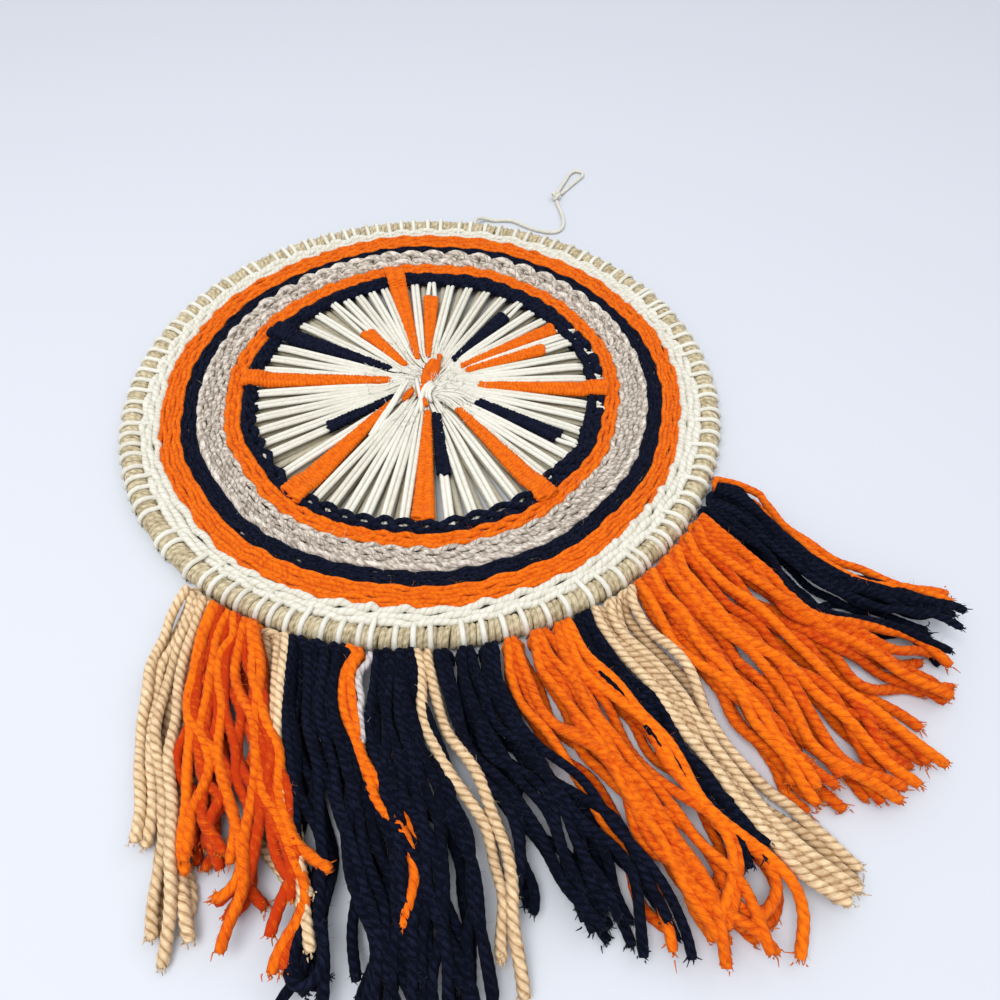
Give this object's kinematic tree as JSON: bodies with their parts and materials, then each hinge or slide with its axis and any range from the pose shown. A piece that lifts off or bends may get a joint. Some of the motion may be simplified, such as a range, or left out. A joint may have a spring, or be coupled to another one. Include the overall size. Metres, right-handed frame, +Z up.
{
  "type": "round yarn weaving wall hanging in a wrapped hoop",
  "caption": "Round yarn weaving stretched in a yarn-wrapped hoop, with a long knotted fringe along its lower edge and a thin hanging cord with a knotted loop.",
  "frame": {"origin": "on the surface that it lies on, below the middle of its outline without the hanging cord", "axes": "+Z up out of the woven face; +Y towards the top of the hanging, where its cord is; the fringe points to -Y"},
  "size_m": [0.261, 0.3434, 0.0101],
  "materials": {
    "tan_yarn": "matt tan acrylic yarn, plied",
    "orange_yarn": "matt orange acrylic yarn, plied, slightly fuzzy",
    "black_yarn": "matt blue-black acrylic yarn, fuzzy",
    "taupe_yarn": "matt taupe acrylic yarn, looped",
    "white_yarn": "matt off-white acrylic yarn, plied",
    "cream_cotton": "matt cream cotton warp string"
  },
  "bodies": {
    "root": {"hoop_wrapped": "tan_yarn", "warp_front": "cream_cotton", "warp_back": "cream_cotton", "band_cream": "cream_cotton", "band_orange_outer": "orange_yarn", "band_black_outer": "black_yarn", "band_taupe": "taupe_yarn", "band_orange_inner": "orange_yarn", "band_black_inner": "black_yarn", "spoke_orange_1": "orange_yarn", "spoke_orange_2": "orange_yarn", "spoke_orange_3": "orange_yarn", "spoke_orange_4": "orange_yarn", "spoke_orange_5": "orange_yarn", "spoke_orange_6": "orange_yarn", "spoke_orange_7": "orange_yarn", "spoke_orange_8": "orange_yarn", "spoke_orange_9": "orange_yarn", "spoke_orange_10": "orange_yarn", "spoke_black_1": "black_yarn", "spoke_black_2": "black_yarn", "spoke_black_3": "black_yarn", "spoke_black_4": "black_yarn", "spoke_black_5": "black_yarn", "hub_stitch_upper": "orange_yarn", "hub_stitch_lower": "orange_yarn", "fringe_tan_1": "tan_yarn", "fringe_tan_2": "tan_yarn", "fringe_tan_3": "tan_yarn", "fringe_tan_4": "tan_yarn", "fringe_orange_1": "orange_yarn", "fringe_orange_2": "orange_yarn", "fringe_orange_3": "orange_yarn", "fringe_orange_4": "orange_yarn", "fringe_orange_5": "orange_yarn", "fringe_black_1": "black_yarn", "fringe_black_2": "black_yarn", "fringe_black_3": "black_yarn", "fringe_black_4": "black_yarn", "fringe_black_5": "black_yarn", "fringe_white": "white_yarn", "hanging_cord": "cream_cotton", "hanging_knot": "cream_cotton", "hanging_loop": "cream_cotton"}
  },
  "joints": []
}
